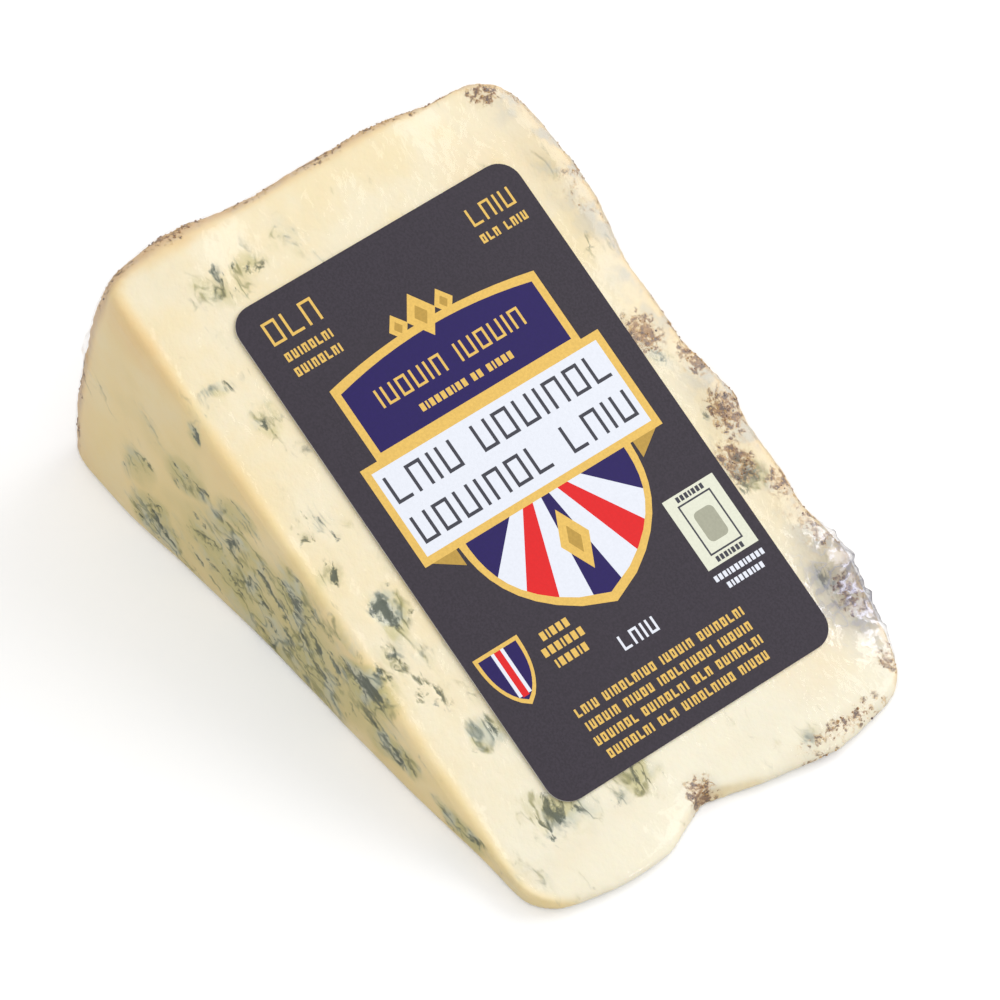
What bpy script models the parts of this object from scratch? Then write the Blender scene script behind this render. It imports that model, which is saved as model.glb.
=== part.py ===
"""A wedge of blue cheese sealed in clear film, with a printed label on its sloping cut face.

The wedge is a slice of a drum of cheese. It lies on one flat cut face, so the drum's axis runs
along Y through the thin end, the rind is the arc at the thick end, and the other flat cut face
slopes down towards the thin end (+X). Cheese and film are one closed solid. The label is a thin
rounded slab on the sloping face.

Metres, +Z up, origin at the middle of the base.
"""

import math

import bmesh
import bpy
from mathutils import Vector, noise

MM = 0.001

# The slice: a sector of the drum.
DRUM_RADIUS = 102.0 * MM       # from the drum's axis to the rind
SLICE_ANGLE = math.radians(25.0)
LEFT_SIDE = -34.8 * MM         # cut across the drum
RIGHT_SIDE = 31.0 * MM         # crust on the drum's flat end
TIP_RADIUS = 0.2 * MM          # how near the drum's axis the slice reaches
TIP_LIFT = 2.5 * MM            # thickness that the blunt tip keeps
TIP_LIFT_REACH = 12.0 * MM     # how far back from the axis the lift fades out

# Rounding of the edges, and of the four corners in plan.
TOP_EDGE_RADIUS = 2.8 * MM
BASE_EDGE_RADIUS = 1.3 * MM
EDGE_SHARE = 0.46              # of the local thickness, where the wedge is thin
CORNER_RIND_LEFT = 4.5 * MM
CORNER_RIND_RIGHT = 8.5 * MM
CORNER_TIP_LEFT = 5.0 * MM
CORNER_TIP_RIGHT = 9.0 * MM

# Grid lines along the slice, across it and up it. They crowd towards the edges.
CELLS_ALONG = 34
CELLS_ACROSS = 26
CELLS_UP = 12

# Label, measured on the sloping face.
LABEL_LENGTH = 76.9 * MM
LABEL_WIDTH = 46.1 * MM
LABEL_CORNER = 3.3 * MM
LABEL_THICKNESS = 0.30 * MM
LABEL_GAP = 0.30 * MM
LABEL_FROM_AXIS = 50.2 * MM    # label's middle, along the slope
LABEL_CORNER_STEPS = 6
SEAT_MARGIN = 1.0 * MM         # flat face left round the label
SEAT_FADE = 4.0 * MM           # over which the uneven surface comes in

# Uneven places: along from the axis, across, angle share up the slice, reach, height.
SWELLS = (
    ("shoulder of the crust", 84.0, 31.0, 1.00, 14.0, 0.9),
    ("dent in the crust ridge", 65.0, 31.0, 1.00, 10.0, -1.0),
    ("deep dent in the crust ridge", 56.5, 31.0, 1.00, 7.0, -1.1),
    ("knob below the dents", 47.5, 31.0, 1.00, 6.5, 1.7),
    ("crease of gathered film", 21.5, 31.0, 0.90, 7.0, 1.7),
    ("corner of the tip", 6.0, 31.0, 0.80, 10.0, -1.6),
    ("swell of the tip", 0.5, 13.0, 0.80, 14.0, 2.1),
    ("notch in the tip", 0.5, -6.0, 0.80, 7.0, -3.2),
    ("long swell of the tip", 0.5, -19.0, 0.80, 16.0, 2.1),
    ("left end of the tip", 0.5, -35.0, 0.80, 7.0, -0.9),
    ("swell of the rind", 102.0, -22.0, 0.95, 11.0, 1.7),
    ("flat of the rind", 102.0, 22.0, 0.95, 12.0, -2.0),
    ("foot of the left side", 88.0, -35.0, 0.00, 24.0, 1.1),
    ("hollow in the left side", 60.0, -35.0, 0.60, 18.0, -0.7),
    ("end of the left side", 12.0, -35.0, 0.30, 18.0, -0.6),
    ("hollow in the crust", 70.0, 31.0, 0.45, 14.0, -1.0),
    ("lump in the crust", 56.0, 31.0, 0.40, 11.0, 1.0),
    ("lump low in the crust", 82.0, 31.0, 0.20, 11.0, 0.8),
)
CRUST_WAVE = 0.55 * MM         # waviness of rind and crust
CUT_WAVE = 0.22 * MM           # waviness of the cut faces
WAVE_SIZE = 9.0 * MM
RISE_SHARE = 0.4               # of a swell's height that lifts the skin
BASE_FADE = 4.0 * MM           # height below which the skin moves only sideways

FLAT_ANGLE = math.radians(0.05)


def clear_scene():
    """Remove every object from the scene."""
    for thing in list(bpy.data.objects):
        bpy.data.objects.remove(thing, do_unlink=True)


def make_collection(name):
    """Return a new collection, linked to the scene."""
    collection = bpy.data.collections.new(name)
    bpy.context.scene.collection.children.link(collection)
    return collection


def make_material(name, colour, roughness, metallic=0.0):
    """Return a Principled material of one colour."""
    material = bpy.data.materials.new(name)
    material.use_nodes = True
    shader = material.node_tree.nodes["Principled BSDF"]
    shader.inputs["Base Color"].default_value = (*colour, 1.0)
    shader.inputs["Roughness"].default_value = roughness
    shader.inputs["Metallic"].default_value = metallic
    material.diffuse_color = (*colour, 1.0)
    return material


def smoothstep(low, high, value):
    """Return 0 below low, 1 above high and an S-shaped rise between."""
    share = min(max((value - low) / (high - low), 0.0), 1.0)
    return share * share * (3.0 - 2.0 * share)


def crowd(share):
    """Move a share from 0 to 1 so that even steps crowd towards both ends."""
    return 0.5 - 0.5 * math.cos(math.pi * share)


def gridded_cube(cells):
    """Return a bmesh cube from 0 to 1, cut by planes that crowd towards its faces."""
    bm = bmesh.new()
    bmesh.ops.create_cube(bm, size=1.0)
    bmesh.ops.translate(bm, verts=bm.verts, vec=(0.5, 0.5, 0.5))
    for axis, count in enumerate(cells):
        normal = Vector((0.0, 0.0, 0.0))
        normal[axis] = 1.0
        for step in range(1, count):
            geometry = bm.verts[:] + bm.edges[:] + bm.faces[:]
            place = normal * crowd(step / count)
            bmesh.ops.bisect_plane(bm, geom=geometry, plane_co=place, plane_no=normal)
    return bm


def thickness_at(radius):
    """Return the wedge's thickness along the arc at a distance from the drum's axis."""
    lift = TIP_LIFT * (1.0 - smoothstep(0.0, TIP_LIFT_REACH, radius))
    return radius * SLICE_ANGLE + lift


def corner_radius(along_side, across_side):
    """Return the plan radius of the corner at the rind or tip end, left or right."""
    if along_side > 0.0:
        return CORNER_RIND_RIGHT if across_side > 0.0 else CORNER_RIND_LEFT
    return CORNER_TIP_RIGHT if across_side > 0.0 else CORNER_TIP_LEFT


def round_plan(along, across):
    """Round the plan's corners. Return the moved point, its way out and its depth inside."""
    middle_along = 0.5 * (TIP_RADIUS + DRUM_RADIUS)
    half_along = 0.5 * (DRUM_RADIUS - TIP_RADIUS)
    middle_across = 0.5 * (LEFT_SIDE + RIGHT_SIDE)
    half_across = 0.5 * (RIGHT_SIDE - LEFT_SIDE)
    side_along = math.copysign(1.0, along - middle_along)
    side_across = math.copysign(1.0, across - middle_across)
    radius = corner_radius(side_along, side_across)
    past_along = abs(along - middle_along) - (half_along - radius)
    past_across = abs(across - middle_across) - (half_across - radius)
    depth = radius - max(past_along, past_across)
    if past_along > 0.0 and past_across > 0.0:
        way = Vector((past_along, past_across)).normalized()
        reach = radius - depth
        past_along = way.x * reach
        past_across = way.y * reach
    elif past_along > past_across:
        way = Vector((1.0, 0.0))
    else:
        way = Vector((0.0, 1.0))
    new_along = middle_along + side_along * (half_along - radius + past_along)
    new_across = middle_across + side_across * (half_across - radius + past_across)
    return new_along, new_across, Vector((side_along * way.x, side_across * way.y)), depth


def round_edge(depth, height, radius):
    """Round the edge between a side wall and the base or top. Return both new distances."""
    inset_depth = radius - depth
    inset_height = radius - height
    if inset_depth <= 0.0 or inset_height <= 0.0:
        return depth, height
    scale = radius / math.hypot(inset_depth, inset_height)
    return radius - inset_depth * scale, radius - inset_height * scale


def wedge_point(share):
    """Map a point of the unit cube's skin to the rounded slice, as (along, across, up share)."""
    along = TIP_RADIUS + (DRUM_RADIUS - TIP_RADIUS) * share.x
    across = LEFT_SIDE + (RIGHT_SIDE - LEFT_SIDE) * share.y
    along, across, way, depth = round_plan(along, across)
    thickness = thickness_at(along)
    upper = share.z > 0.5
    radius = min(TOP_EDGE_RADIUS if upper else BASE_EDGE_RADIUS, EDGE_SHARE * thickness)
    height = thickness * (1.0 - share.z if upper else share.z)
    new_depth, new_height = round_edge(depth, height, radius)
    along -= way.x * (new_depth - depth)
    across -= way.y * (new_depth - depth)
    up = new_height / thickness
    return along, across, 1.0 - up if upper else up


def bend(along, across, up):
    """Place a point of the slice in space, with the drum's axis on Y."""
    angle = SLICE_ANGLE * up
    lift = TIP_LIFT * (1.0 - smoothstep(0.0, TIP_LIFT_REACH, along))
    return Vector((-along * math.cos(angle), across, along * math.sin(angle) + lift * up))


def seat_share(place):
    """Return 0 where the label lies on the sloping face and 1 well away from it."""
    slope = Vector((-math.cos(SLICE_ANGLE), 0.0, math.sin(SLICE_ANGLE)))
    along = place.dot(slope)
    off_face = (place - slope * along).dot(Vector((slope.z, 0.0, -slope.x)))
    past_along = abs(along - LABEL_FROM_AXIS) - 0.5 * LABEL_LENGTH - SEAT_MARGIN
    past_across = abs(place.y) - 0.5 * LABEL_WIDTH - SEAT_MARGIN
    past = max(past_along, past_across, abs(off_face) - SEAT_MARGIN)
    return smoothstep(0.0, SEAT_FADE, past)


def waviness(place, normal):
    """Return the outward offset of the wavy surface, stronger on rind and crust."""
    on_crust = max(normal.y, -normal.x, 0.0)
    size = CUT_WAVE + (CRUST_WAVE - CUT_WAVE) * on_crust
    return size * noise.noise(place / WAVE_SIZE)


def swelling(place):
    """Return the outward offset that the named uneven places give a point."""
    total = 0.0
    for _, along, across, up, reach, height in SWELLS:
        centre = bend(along * MM, across * MM, up)
        near = 1.0 - smoothstep(0.0, reach * MM, (place - centre).length)
        total += height * MM * near
    return total


def roughen(bm):
    """Push the skin in and out by its swells and waves, except under the label.

    Near the base and the tip it moves only sideways, so the base stays flat and the tip thin.
    """
    bm.normal_update()
    offsets = []
    for vert in bm.verts:
        keep = seat_share(vert.co)
        outward = vert.normal.copy()
        outward.z *= RISE_SHARE * smoothstep(0.0, BASE_FADE, vert.co.z)
        outward.z *= smoothstep(0.0, TIP_LIFT_REACH, -vert.co.x)
        amount = swelling(vert.co) + waviness(vert.co, vert.normal)
        offsets.append(outward * amount * keep)
    for vert, offset in zip(bm.verts, offsets):
        vert.co += offset
        vert.co.z = max(vert.co.z, 0.0)


def build_wedge(collection, origin):
    """Make the sealed wedge as one solid."""
    bm = gridded_cube((CELLS_ALONG, CELLS_ACROSS, CELLS_UP))
    for vert in bm.verts:
        vert.co = bend(*wedge_point(vert.co))
    bmesh.ops.recalc_face_normals(bm, faces=bm.faces)
    roughen(bm)
    base_edges = [edge for edge in bm.edges if all(abs(vert.co.z) < 1e-7 for vert in edge.verts)]
    bmesh.ops.dissolve_limit(bm, angle_limit=FLAT_ANGLE, verts=[], edges=base_edges)
    mesh = bpy.data.meshes.new("wrapped_wedge")
    bm.to_mesh(mesh)
    bm.free()
    mesh.shade_smooth()
    mesh.materials.append(make_material("wrapped_cheese", (0.84, 0.74, 0.50), 0.35))
    wedge = bpy.data.objects.new("wrapped_wedge", mesh)
    wedge.parent = origin
    collection.objects.link(wedge)
    return wedge


def label_outline():
    """Return the label's rounded outline about its middle, with long sides along X."""
    points = []
    corners = ((1, 1, 0.0), (-1, 1, 0.5), (-1, -1, 1.0), (1, -1, 1.5))
    for side_x, side_y, start in corners:
        centre_x = side_x * (0.5 * LABEL_LENGTH - LABEL_CORNER)
        centre_y = side_y * (0.5 * LABEL_WIDTH - LABEL_CORNER)
        for step in range(LABEL_CORNER_STEPS + 1):
            angle = math.pi * (start + 0.5 * step / LABEL_CORNER_STEPS)
            x = centre_x + LABEL_CORNER * math.cos(angle)
            y = centre_y + LABEL_CORNER * math.sin(angle)
            points.append((x, y))
    return points


def build_label(collection, origin):
    """Make the label, a filled outline with thickness, lying just above the sloping face."""
    points = label_outline()
    curve = bpy.data.curves.new("label", "CURVE")
    curve.dimensions = "2D"
    curve.fill_mode = "BOTH"
    curve.extrude = 0.5 * LABEL_THICKNESS
    spline = curve.splines.new("POLY")
    spline.points.add(len(points) - 1)
    for target, (x, y) in zip(spline.points, points):
        target.co = (x, y, 0.0, 1.0)
    spline.use_cyclic_u = True
    curve.materials.append(make_material("label_paper", (0.065, 0.058, 0.075), 0.42))
    label = bpy.data.objects.new("label", curve)
    rise = LABEL_GAP + 0.5 * LABEL_THICKNESS
    middle = bend(LABEL_FROM_AXIS, 0.0, 1.0)
    label.location = middle + rise * Vector((math.sin(SLICE_ANGLE), 0.0, math.cos(SLICE_ANGLE)))
    label.rotation_euler = (0.0, SLICE_ANGLE, 0.0)
    label.parent = origin
    collection.objects.link(label)
    return label


def centre_on_base(origin, wedge):
    """Move the whole part so that the world origin is at the middle of the wedge's base."""
    low_x = min(vert.co.x for vert in wedge.data.vertices)
    high_x = max(vert.co.x for vert in wedge.data.vertices)
    low_y = min(vert.co.y for vert in wedge.data.vertices)
    high_y = max(vert.co.y for vert in wedge.data.vertices)
    origin.location = (-0.5 * (low_x + high_x), -0.5 * (low_y + high_y), 0.0)
    bpy.context.view_layer.update()


def main():
    """Build the wrapped wedge of cheese."""
    clear_scene()
    collection = make_collection("blue_cheese_wedge")
    origin = bpy.data.objects.new("drum_axis", None)
    collection.objects.link(origin)
    wedge = build_wedge(collection, origin)
    build_label(collection, origin)
    centre_on_base(origin, wedge)


main()
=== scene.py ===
# %% [markdown]
# # A wedge of blue cheese in clear film
# A slice of a drum of blue cheese lies on one of its cut faces. It is sealed in clear film that
# shrinks tight on it, and a dark printed label is stuck on the sloping cut face. This lesson
# starts from a plain solid of the right size, and makes the cheese, its crust and veins, the
# film and the label from it. Everything is in metres, with Z up.

import math

import bmesh
import bpy
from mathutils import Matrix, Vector
from mathutils.geometry import delaunay_2d_cdt


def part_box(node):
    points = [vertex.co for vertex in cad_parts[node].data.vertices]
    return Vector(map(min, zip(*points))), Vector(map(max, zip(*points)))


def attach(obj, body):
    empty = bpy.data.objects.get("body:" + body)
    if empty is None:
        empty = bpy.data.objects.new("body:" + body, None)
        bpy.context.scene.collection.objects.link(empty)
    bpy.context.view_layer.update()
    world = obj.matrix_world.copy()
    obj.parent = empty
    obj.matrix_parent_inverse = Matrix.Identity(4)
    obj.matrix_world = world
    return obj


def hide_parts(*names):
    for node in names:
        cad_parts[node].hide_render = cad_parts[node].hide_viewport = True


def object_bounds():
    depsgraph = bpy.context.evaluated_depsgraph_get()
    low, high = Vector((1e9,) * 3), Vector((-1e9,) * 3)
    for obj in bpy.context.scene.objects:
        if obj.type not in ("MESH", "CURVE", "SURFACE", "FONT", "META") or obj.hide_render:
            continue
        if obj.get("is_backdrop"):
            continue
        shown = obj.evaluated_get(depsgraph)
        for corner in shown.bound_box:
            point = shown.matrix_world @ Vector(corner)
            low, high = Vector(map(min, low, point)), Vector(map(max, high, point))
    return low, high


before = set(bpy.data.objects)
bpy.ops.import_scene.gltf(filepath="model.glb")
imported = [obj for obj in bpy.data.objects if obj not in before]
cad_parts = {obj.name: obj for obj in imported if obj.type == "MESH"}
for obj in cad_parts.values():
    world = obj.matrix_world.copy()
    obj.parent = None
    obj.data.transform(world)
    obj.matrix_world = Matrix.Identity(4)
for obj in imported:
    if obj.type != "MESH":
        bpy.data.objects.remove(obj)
cad_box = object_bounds()
MM = 0.001
print("plain solids:", sorted(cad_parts))

# %% [markdown]
# ## Where things are
# The label shows which way the sloping face runs, so its biggest triangle gives the slope. From
# that come three directions: down the slope, across it, and straight out of the face. The drum's
# axis is the line where the sloping face would meet the base.

# %% Measure the sloping face
label_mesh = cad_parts["label"].data
wedge_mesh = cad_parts["wrapped_wedge"].data
label_low, label_high = (Vector(corner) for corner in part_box("label"))
wedge_low, wedge_high = (Vector(corner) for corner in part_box("wrapped_wedge"))
label_middle = (label_low + label_high) / 2
LABEL_DOWN = 76.9
LABEL_ACROSS = 46.1

flattest = max(label_mesh.polygons, key=lambda face: face.area)
slope = abs(math.atan(flattest.normal.x / flattest.normal.z))
DOWN = Vector((math.cos(slope), 0.0, -math.sin(slope)))
ACROSS = Vector((0.0, 1.0, 0.0))
OUT = Vector((math.sin(slope), 0.0, math.cos(slope)))

nearest = min(wedge_mesh.vertices, key=lambda vert: (vert.co - label_middle).length)
seat_middle = label_middle - OUT * (label_middle - nearest.co).dot(OUT)
drum_axis_x = seat_middle.x + seat_middle.z / math.tan(slope)
left_side_y = sorted(vert.co.y for vert in wedge_mesh.vertices)[len(wedge_mesh.vertices) // 12]
print("slope in degrees:", round(math.degrees(slope), 2))
print("label's middle on the face, in mm:", [round(value / MM, 2) for value in seat_middle])
print("drum axis x and left side y, in mm:", round(drum_axis_x / MM, 2), round(left_side_y / MM, 2))


# %% Name places on the wedge
def on_slope(down, across):
    """Return the place on the sloping face, in mm down and across from the label's middle."""
    return seat_middle + DOWN * (down * MM) + ACROSS * (across * MM)


def on_left(from_axis, up):
    """Return the place on the left cut side, in mm from the drum's axis and up from the base."""
    return Vector((drum_axis_x - from_axis * MM, left_side_y, up * MM))


def on_tip(from_axis, across, up):
    """Return the place at the thin end, in mm from the drum's axis, across and up."""
    return Vector((drum_axis_x - from_axis * MM, seat_middle.y + across * MM, up * MM))


print("thick end of the slope at, in mm:", [round(value / MM, 1) for value in on_slope(-51, 0)])

# %% [markdown]
# ## Camera
# The wedge is seen from above its thin left corner through a long lens, so its edges stay nearly
# parallel. The lens looks a little to the left of the label's middle.

# %% Place the camera
def add_object(name, data):
    """Return a new object, linked to the scene."""
    made = bpy.data.objects.new(name, data)
    bpy.context.scene.collection.objects.link(made)
    return made


VIEW_AZIMUTH = math.radians(51.75)
VIEW_ELEVATION = math.radians(50.54)
VIEW_DISTANCE = 0.9223
VIEW_LENS = 257.0
VIEW_AIM = seat_middle + Vector((0.2, -5.6, 0.0)) * MM

view_back = Vector((
    math.sin(VIEW_AZIMUTH) * math.cos(VIEW_ELEVATION),
    -math.cos(VIEW_AZIMUTH) * math.cos(VIEW_ELEVATION),
    math.sin(VIEW_ELEVATION),
))
camera_data = bpy.data.cameras.new("camera")
camera_data.lens = VIEW_LENS
camera_data.sensor_width = 36.0
camera_data.clip_start = 0.01
camera = add_object("camera", camera_data)
camera.location = VIEW_AIM + view_back * VIEW_DISTANCE
camera.rotation_euler = (math.pi / 2 - VIEW_ELEVATION, 0.0, VIEW_AZIMUTH)
bpy.context.scene.camera = camera
print("camera at, in mm:", [round(value / MM) for value in camera.location])

# %% [markdown]
# ## Writing node trees as sums
# Materials and Geometry Nodes share most of their nodes. A small class wraps a node's output, so
# that `1 - mask * 0.5` adds the Math nodes by itself, and one method adds any other node. The
# same pattern can then colour a surface in a material and press it in with Geometry Nodes.


# %% Wrap a node's output
class Flow:
    """A value that runs through a tree. Sums written on it become Math nodes."""

    def __init__(self, nodes, socket):
        self.nodes = nodes
        self.socket = socket

    def math(self, operation, first, second):
        return self.nodes.add("ShaderNodeMath", {"operation": operation}, {0: first, 1: second})

    def __add__(self, other):
        return self.math("ADD", self, other)

    def __radd__(self, other):
        return self.math("ADD", other, self)

    def __sub__(self, other):
        return self.math("SUBTRACT", self, other)

    def __rsub__(self, other):
        return self.math("SUBTRACT", other, self)

    def __mul__(self, other):
        return self.math("MULTIPLY", self, other)

    def __rmul__(self, other):
        return self.math("MULTIPLY", other, self)

    def __neg__(self):
        return self.math("MULTIPLY", self, -1.0)

    def __abs__(self):
        return self.math("ABSOLUTE", self, 0.0)

    def most(self, other):
        return self.math("MAXIMUM", self, other)


# %% Add any node
class Nodes:
    """Builds one tree, for a material or for Geometry Nodes."""

    def __init__(self, tree):
        self.tree = tree
        tree.nodes.clear()

    def add(self, kind, settings=None, inputs=None, output=0):
        """Add a node: its settings first, then its inputs by name or number."""
        node = self.tree.nodes.new(kind)
        for name, value in (settings or {}).items():
            if name == "stops":
                self.set_stops(node.color_ramp, value)
            else:
                setattr(node, name, value)
        for name, value in (inputs or {}).items():
            self.feed(self.pick(node.inputs, name), value)
        return Flow(self, self.pick(node.outputs, output))

    def pick(self, sockets, name):
        """Return the socket of that number, or the one in use of that name."""
        if isinstance(name, int):
            return sockets[name]
        return next(socket for socket in sockets if socket.name == name and socket.enabled)

    def feed(self, socket, value):
        """Link a flow to a socket, or set the socket's own value."""
        if isinstance(value, Flow):
            self.tree.links.new(value.socket, socket)
        else:
            socket.default_value = value

    def set_stops(self, ramp, stops):
        """Give a colour ramp its stops, as (place, colour) pairs."""
        while len(ramp.elements) < len(stops):
            ramp.elements.new(1.0)
        for element, (place, colour) in zip(ramp.elements, stops):
            element.position = place
            element.color = (*colour, 1.0)


print("node writer ready")


# %% Patterns that both kinds of tree can use
def vector_sum(operation, first, second, output="Vector"):
    """Add one Vector Math node."""
    settings = {"operation": operation}
    return first.nodes.add("ShaderNodeVectorMath", settings, {0: first, 1: second}, output)


def along(place, direction):
    """Return how far a place lies along a direction."""
    return vector_sum("DOT_PRODUCT", place, direction, "Value")


def length_of(vector):
    """Return the length of a vector."""
    return vector.nodes.add("ShaderNodeVectorMath", {"operation": "LENGTH"}, {0: vector}, "Value")


def scaled(vector, amount):
    """Return a vector times an amount."""
    inputs = {"Vector": vector, "Scale": amount}
    return vector.nodes.add("ShaderNodeVectorMath", {"operation": "SCALE"}, inputs)


def speckle(place, size, detail=2.0, roughness=0.5, output=0):
    """Return noise from 0 to 1 with features of about that size, in mm."""
    inputs = {"Vector": place, "Scale": 1.0 / (size * MM), "Detail": detail, "Roughness": roughness}
    return place.nodes.add("ShaderNodeTexNoise", None, inputs, output)


def rise(value, low, high, start=0.0, end=1.0):
    """Return an S-shaped change from start to end while the value goes from low to high."""
    inputs = {"Value": value, "From Min": low, "From Max": high, "To Min": start, "To Max": end}
    return value.nodes.add("ShaderNodeMapRange", {"interpolation_type": "SMOOTHSTEP"}, inputs)


def near(place, centre, reach):
    """Return 1 at a centre, falling to 0 at its reach, in mm along X, Y and Z."""
    offset = vector_sum("SUBTRACT", place, centre)
    shares = vector_sum("DIVIDE", offset, [value * MM for value in reach])
    return rise(length_of(shares), 0.15, 1.0, 1.0, 0.0)


def blend(factor, first, second):
    """Mix two colours."""
    settings = {"data_type": "RGBA"}
    inputs = {"Factor": factor, "A": as_colour(first), "B": as_colour(second)}
    return factor.nodes.add("ShaderNodeMix", settings, inputs, "Result")


def as_colour(value):
    """Return a flow as it is, or three numbers as a full colour."""
    return value if isinstance(value, Flow) else (*value, 1.0)


def warp(place, size, amount):
    """Move a place about by up to an amount in mm, in swirls of a size in mm."""
    swirl = speckle(place, size, 2.0, 0.5, 1)
    centred = vector_sum("SUBTRACT", swirl, (0.5, 0.5, 0.5))
    moved = vector_sum("MULTIPLY", centred, (2 * amount * MM,) * 3)
    return vector_sum("ADD", place, moved)


print("patterns ready")

# %% [markdown]
# ## Blue veins
# The mould grows along the needle holes, which run much as the slope does, so the veins are
# longer down the slope than across it. They could be painted by hand, but a list of patches is
# easier to change. Each patch is a place with a reach and a strength, and Geometry Nodes keep the
# strongest of them at each point of the mesh as one value, called mould. Noise then decides where
# within a patch the haze, the thin threads, the long streaks and the blots show.

# %% List the patches of mould
TOP_PATCHES = (
    # down, across, reach down, reach across, strength
    (-42.3, -18.8, 6.0, 8.5, 0.60),
    (-31.0, -28.0, 2.4, 6.0, 0.46),
    (-25.5, -26.0, 5.0, 4.5, 0.50),
    (-9.0, -28.0, 9.0, 6.5, 0.60),
    (-3.0, -31.0, 4.0, 4.0, 0.62),
    (5.0, -26.5, 6.5, 5.0, 0.90),
    (10.5, -30.0, 7.0, 4.5, 0.74),
    (16.0, -29.0, 28.0, 7.0, 0.44),
    (25.5, -25.5, 5.0, 4.5, 0.66),
    (37.5, -24.5, 7.0, 7.0, 0.78),
    (40.5, -12.5, 3.5, 7.5, 0.66),
    (-47.0, -1.0, 3.0, 6.0, 0.36),
    (46.6, 6.4, 2.0, 2.4, 0.62),
    (-4.5, 25.0, 4.0, 3.0, 0.56),
    (4.0, 25.5, 4.0, 3.0, 0.50),
    (14.2, 25.8, 6.0, 4.0, 1.00),
    (33.0, 27.0, 8.0, 3.5, 0.55),
)
LEFT_PATCHES = (
    # from the drum's axis, up, reach along, reach up, strength
    (54.0, 9.0, 40.0, 19.0, 0.62),
    (72.2, 30.4, 3.0, 3.0, 0.62),
    (69.0, 34.0, 2.4, 2.4, 0.62),
    (81.0, 5.5, 9.0, 6.0, 0.80),
    (85.0, 12.5, 6.0, 6.0, 0.52),
    (74.0, 19.5, 8.0, 5.0, 0.70),
    (64.0, 21.5, 8.0, 4.5, 0.64),
    (63.0, 8.0, 8.0, 5.5, 0.74),
    (52.0, 15.5, 8.0, 5.0, 0.95),
    (50.0, 9.0, 8.0, 5.0, 0.80),
    (37.0, 14.0, 9.0, 5.0, 1.00),
    (31.0, 6.5, 9.0, 4.5, 0.90),
    (43.0, 3.5, 9.0, 3.5, 0.62),
    (18.0, 4.0, 9.0, 3.5, 0.66),
)
RINGS = (
    # from the drum's axis, up, radius, all in mm
    (81.5, 3.9, 1.30),
    (52.3, 16.3, 1.80),
    (50.0, 9.6, 1.40),
)
patches = []
for down, across, reach_down, reach_across, strength in TOP_PATCHES:
    patches.append((on_slope(down, across), (reach_down, reach_across, 4.5), strength))
for from_axis, up, reach_along, reach_up, strength in LEFT_PATCHES:
    patches.append((on_left(from_axis, up), (reach_along, 9.0, reach_up), strength))
rings = [(on_left(from_axis, up), radius) for from_axis, up, radius in RINGS]
print("patches of mould:", len(patches), "and rings:", len(rings))


# %% Decide where the mould shows
def mould_density(place):
    """Return how thickly the mould grows at a place, from 0 to about 1."""
    soft = speckle(place, 16.0, 2.0, 0.5)
    density = rise(soft, 0.45, 0.75, 0.05, 0.27)
    place = warp(place, 6.0, 2.4)
    for centre, reach, strength in patches:
        density = density.most(near(place, centre, reach) * strength)
    return density


def down_the_slope(place, squeeze):
    """Return the place turned to lie along the slope and squeezed along it, to draw noise out."""
    inputs = {0: along(place, DOWN) * squeeze, 1: along(place, ACROSS), 2: along(place, OUT)}
    return place.nodes.add("ShaderNodeCombineXYZ", None, inputs)


def veins(place, mould):
    """Return the mould's haze, its threads and blots, and their dark hearts, from 0 to 1."""
    bent = warp(down_the_slope(place, 0.50), 4.5, 1.9)
    cloud = speckle(bent, 5.0, 5.0, 0.60)
    grown = cloud + mould * 0.45
    haze = rise(cloud * 1.5 + mould * 0.50, 0.84, 1.24) * rise(mould, 0.06, 0.30)
    thread = abs(speckle(bent, 4.2, 3.0, 0.5) - 0.5)
    thread = rise(thread, 0.004, 0.036, 1.0, 0.0) * rise(grown, 0.62, 0.82)
    streak = abs(speckle(bent, 7.5, 2.0, 0.5) - 0.5)
    streak = rise(streak, 0.002, 0.020, 1.0, 0.0) * rise(grown, 0.66, 0.82)
    grain = speckle(bent, 1.8, 5.0, 0.62)
    blot = rise(grain + mould * 0.22, 0.66, 0.77) * rise(mould, 0.15, 0.45)
    vein = (thread * 0.90).most(streak * 0.85).most(blot)
    heart = vein * rise(grain + grown * 0.5, 0.84, 1.04)
    return haze, vein, heart


def ring(place, centre, radius):
    """Return 1 on a ring of mould on the left cut side."""
    offset = vector_sum("SUBTRACT", place, centre)
    flat = vector_sum("MULTIPLY", offset, (1.0, 0.0, 1.0))
    broken = rise(speckle(place, 1.6, 2.0, 0.5), 0.40, 0.55)
    return rise(abs(length_of(flat) - radius * MM), 0.10 * MM, 0.50 * MM, 1.0, 0.0) * broken


print("vein pattern ready")

# %% [markdown]
# ## The crust's dark places
# The drum's flat end and its rind have dried to a crust. Dark crumbs of mould and rind gather in
# patches along the ridge, and they spill a few millimetres on to the sloping face. They are kept
# on the mesh in the same way, as a value called dried.

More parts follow.
